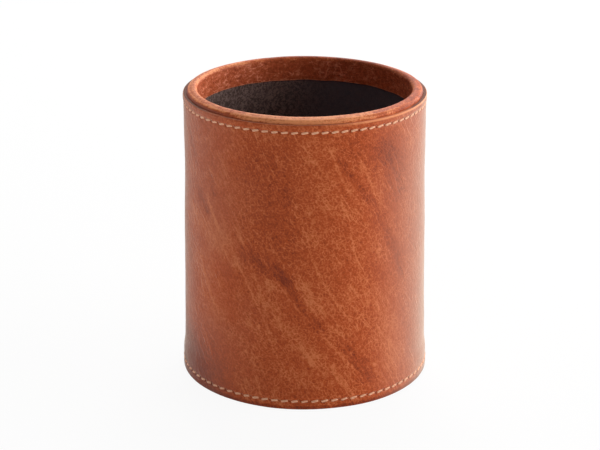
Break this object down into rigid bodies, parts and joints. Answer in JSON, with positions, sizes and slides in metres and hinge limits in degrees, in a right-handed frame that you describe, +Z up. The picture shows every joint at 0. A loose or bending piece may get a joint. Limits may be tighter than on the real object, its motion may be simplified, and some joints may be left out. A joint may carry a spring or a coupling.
{
  "type": "pen cup",
  "caption": "Round stitched-leather pen cup with a bound rim, dark suede lining, stiff board core and felt foot.",
  "frame": {"origin": "centre of the felt pad's underside, on the cup's axis", "axes": "+Z up along the cup's axis, -Y towards the front, and the seam of the wrap at +Y"},
  "size_m": [0.087, 0.0868, 0.102],
  "materials": {
    "wrap_leather": "satin aniline leather, mottled tan",
    "binding_leather": "satin aniline leather, lighter tan",
    "dark_leather": "matt dark leather",
    "suede": "napped suede, dark brown",
    "felt": "pressed wool felt, dark brown",
    "thread": "waxed twisted thread, cream",
    "board": "grey-brown fibreboard",
    "card": "plain card",
    "tape": "woven tape"
  },
  "bodies": {
    "root": {"core_tube": "board", "base_board": "board", "base_cover": "dark_leather", "base_pad": "felt", "lining_sleeve": "suede", "lining_floor": "suede", "rim_binding": "binding_leather", "filler_sheet": "card", "seam_tape": "tape", "outer_wrap": "wrap_leather", "top_stitches": "thread", "bottom_stitches": "thread", "seam_stitches_left": "thread", "seam_stitches_right": "thread"}
  },
  "joints": []
}
